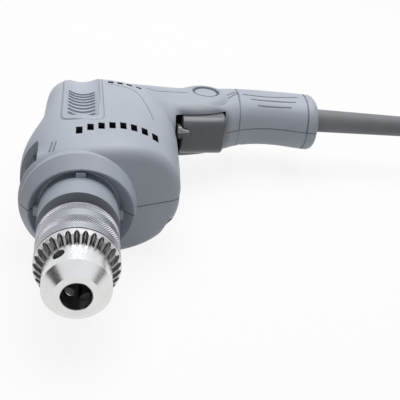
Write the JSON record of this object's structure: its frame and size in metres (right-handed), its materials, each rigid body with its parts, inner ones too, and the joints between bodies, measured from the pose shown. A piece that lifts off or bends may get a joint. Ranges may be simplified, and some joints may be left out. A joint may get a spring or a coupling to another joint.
{
  "type": "hammer drill",
  "caption": "Corded pistol-grip hammer drill with a geared key chuck, side-handle collar, trigger, lock button, reversing lever and mode slider, lying beside its coiled mains cord.",
  "frame": {"origin": "on the spindle axis, half way along the clean part of the 43 mm clamping collar", "axes": "-Y along the spindle towards the chuck, +X from the body to the handle's end, +Z out of the tool's left side, which faces up as it lies on its right side"},
  "size_m": [0.5056, 0.2644, 0.0694],
  "materials": {
    "housing": "satin",
    "black_plastic": "satin",
    "rubber": "matte",
    "polished_steel": "polished",
    "dark_steel": "phosphated",
    "steel": "machined",
    "cast_alloy": "cast, painted",
    "core_iron": "laminated",
    "copper": "enamelled"
  },
  "bodies": {
    "housing": {"housing_left": "housing", "housing_right": "housing", "switch": "black_plastic", "fan_baffle": "black_plastic", "brush_holders": "black_plastic", "cord_clamp": "black_plastic", "capacitor": "black_plastic", "carbon_brushes": "black_plastic", "cord_tie": "black_plastic", "cord_guard": "rubber", "cord_inner": "rubber", "power_cord": "rubber", "cord_coil": "rubber", "cord_tail": "rubber", "plug_body": "rubber", "bearing_sleeve": "rubber", "plug_pins": "polished_steel", "fixed_ratchet": "steel", "hammer_spring": "steel", "spring_retainer": "steel", "motor_bearing_front_outer": "steel", "motor_bearing_rear_outer": "steel", "housing_screws": "steel", "cord_clamp_screws": "steel", "brush_springs": "steel", "front_barrel": "cast_alloy", "bearing_bracket": "cast_alloy", "field_core": "core_iron", "field_coils": "copper", "spindle_bush": "copper"},
    "bearing_carriage": {"front_bearing_outer": "steel", "front_bearing_balls": "steel"},
    "spindle_group": {"spindle": "steel", "front_bearing_inner": "steel", "spindle_gear": "steel", "rotating_ratchet": "steel", "chuck_body": "polished_steel", "chuck_screw": "steel"},
    "armature": {"armature_shaft": "steel", "armature_core": "core_iron", "armature_windings": "copper", "commutator": "copper", "fan": "black_plastic", "motor_bearing_front_inner": "steel", "motor_bearing_rear_inner": "steel"},
    "chuck_sleeve_group": {"chuck_gear_ring": "polished_steel", "chuck_sleeve": "dark_steel", "chuck_nut": "steel"},
    "jaw_1": {"chuck_jaw_1": "dark_steel"},
    "jaw_2": {"chuck_jaw_2": "dark_steel"},
    "jaw_3": {"chuck_jaw_3": "dark_steel"},
    "trigger_body": {"trigger": "black_plastic"},
    "lock_button_body": {"lock_button": "black_plastic"},
    "reversing_lever_body": {"reversing_lever": "black_plastic"},
    "mode_selector": {"mode_lever": "black_plastic", "mode_pin": "steel", "mode_clip": "steel"}
  },
  "joints": [
    {"name": "hammer_stroke", "type": "slide", "parent": "housing", "child": "bearing_carriage", "axis": [0, 1, 0], "range_m": [0, 0.0016], "stiffness_N_per_m": 3000, "springref_m": -0.003, "deforming": ["hammer_spring"]},
    {"name": "spindle_spin", "type": "hinge", "parent": "bearing_carriage", "child": "spindle_group", "pos_m": [0, 0, 0], "axis": [0, 1, 0], "continuous": true},
    {"name": "armature_spin", "type": "hinge", "parent": "housing", "child": "armature", "pos_m": [0.022, 0.085, 0], "axis": [0, 1, 0], "continuous": true},
    {"name": "chuck_turn", "type": "hinge", "parent": "spindle_group", "child": "chuck_sleeve_group", "pos_m": [0, -0.03, 0], "axis": [0, 1, 0], "range_deg": [0, 2520]},
    {"name": "jaw_1_slide", "type": "slide", "parent": "spindle_group", "child": "jaw_1", "axis": [-0.1159, -0.9659, -0.2314], "range_m": [0, 0.021]},
    {"name": "jaw_2_slide", "type": "slide", "parent": "spindle_group", "child": "jaw_2", "axis": [0.2584, -0.9659, 0.0153], "range_m": [0, 0.021]},
    {"name": "jaw_3_slide", "type": "slide", "parent": "spindle_group", "child": "jaw_3", "axis": [-0.1425, -0.9659, 0.2161], "range_m": [0, 0.021]},
    {"name": "trigger_pull", "type": "slide", "parent": "housing", "child": "trigger_body", "axis": [0, 1, 0], "range_m": [0, 0.0065], "stiffness_N_per_m": 800, "springref_m": -0.004},
    {"name": "lock_press", "type": "slide", "parent": "housing", "child": "lock_button_body", "axis": [0, 0, -1], "range_m": [0, 0.003], "stiffness_N_per_m": 600, "springref_m": -0.002},
    {"name": "reverse_swing", "type": "hinge", "parent": "housing", "child": "reversing_lever_body", "pos_m": [0.0636, 0.144, 0], "axis": [1, 0, 0], "range_deg": [0, 20]},
    {"name": "mode_slide", "type": "slide", "parent": "housing", "child": "mode_selector", "axis": [0, 0, -1], "range_m": [0, 0.008]}
  ],
  "couplings": [
    {"joint": "spindle_spin", "follows": "armature_spin", "ratio": -0.13636},
    {"joint": "jaw_1_slide", "follows": "chuck_turn", "m_per_rad": 0.00047746},
    {"joint": "jaw_2_slide", "follows": "chuck_turn", "m_per_rad": 0.00047746},
    {"joint": "jaw_3_slide", "follows": "chuck_turn", "m_per_rad": 0.00047746}
  ]
}
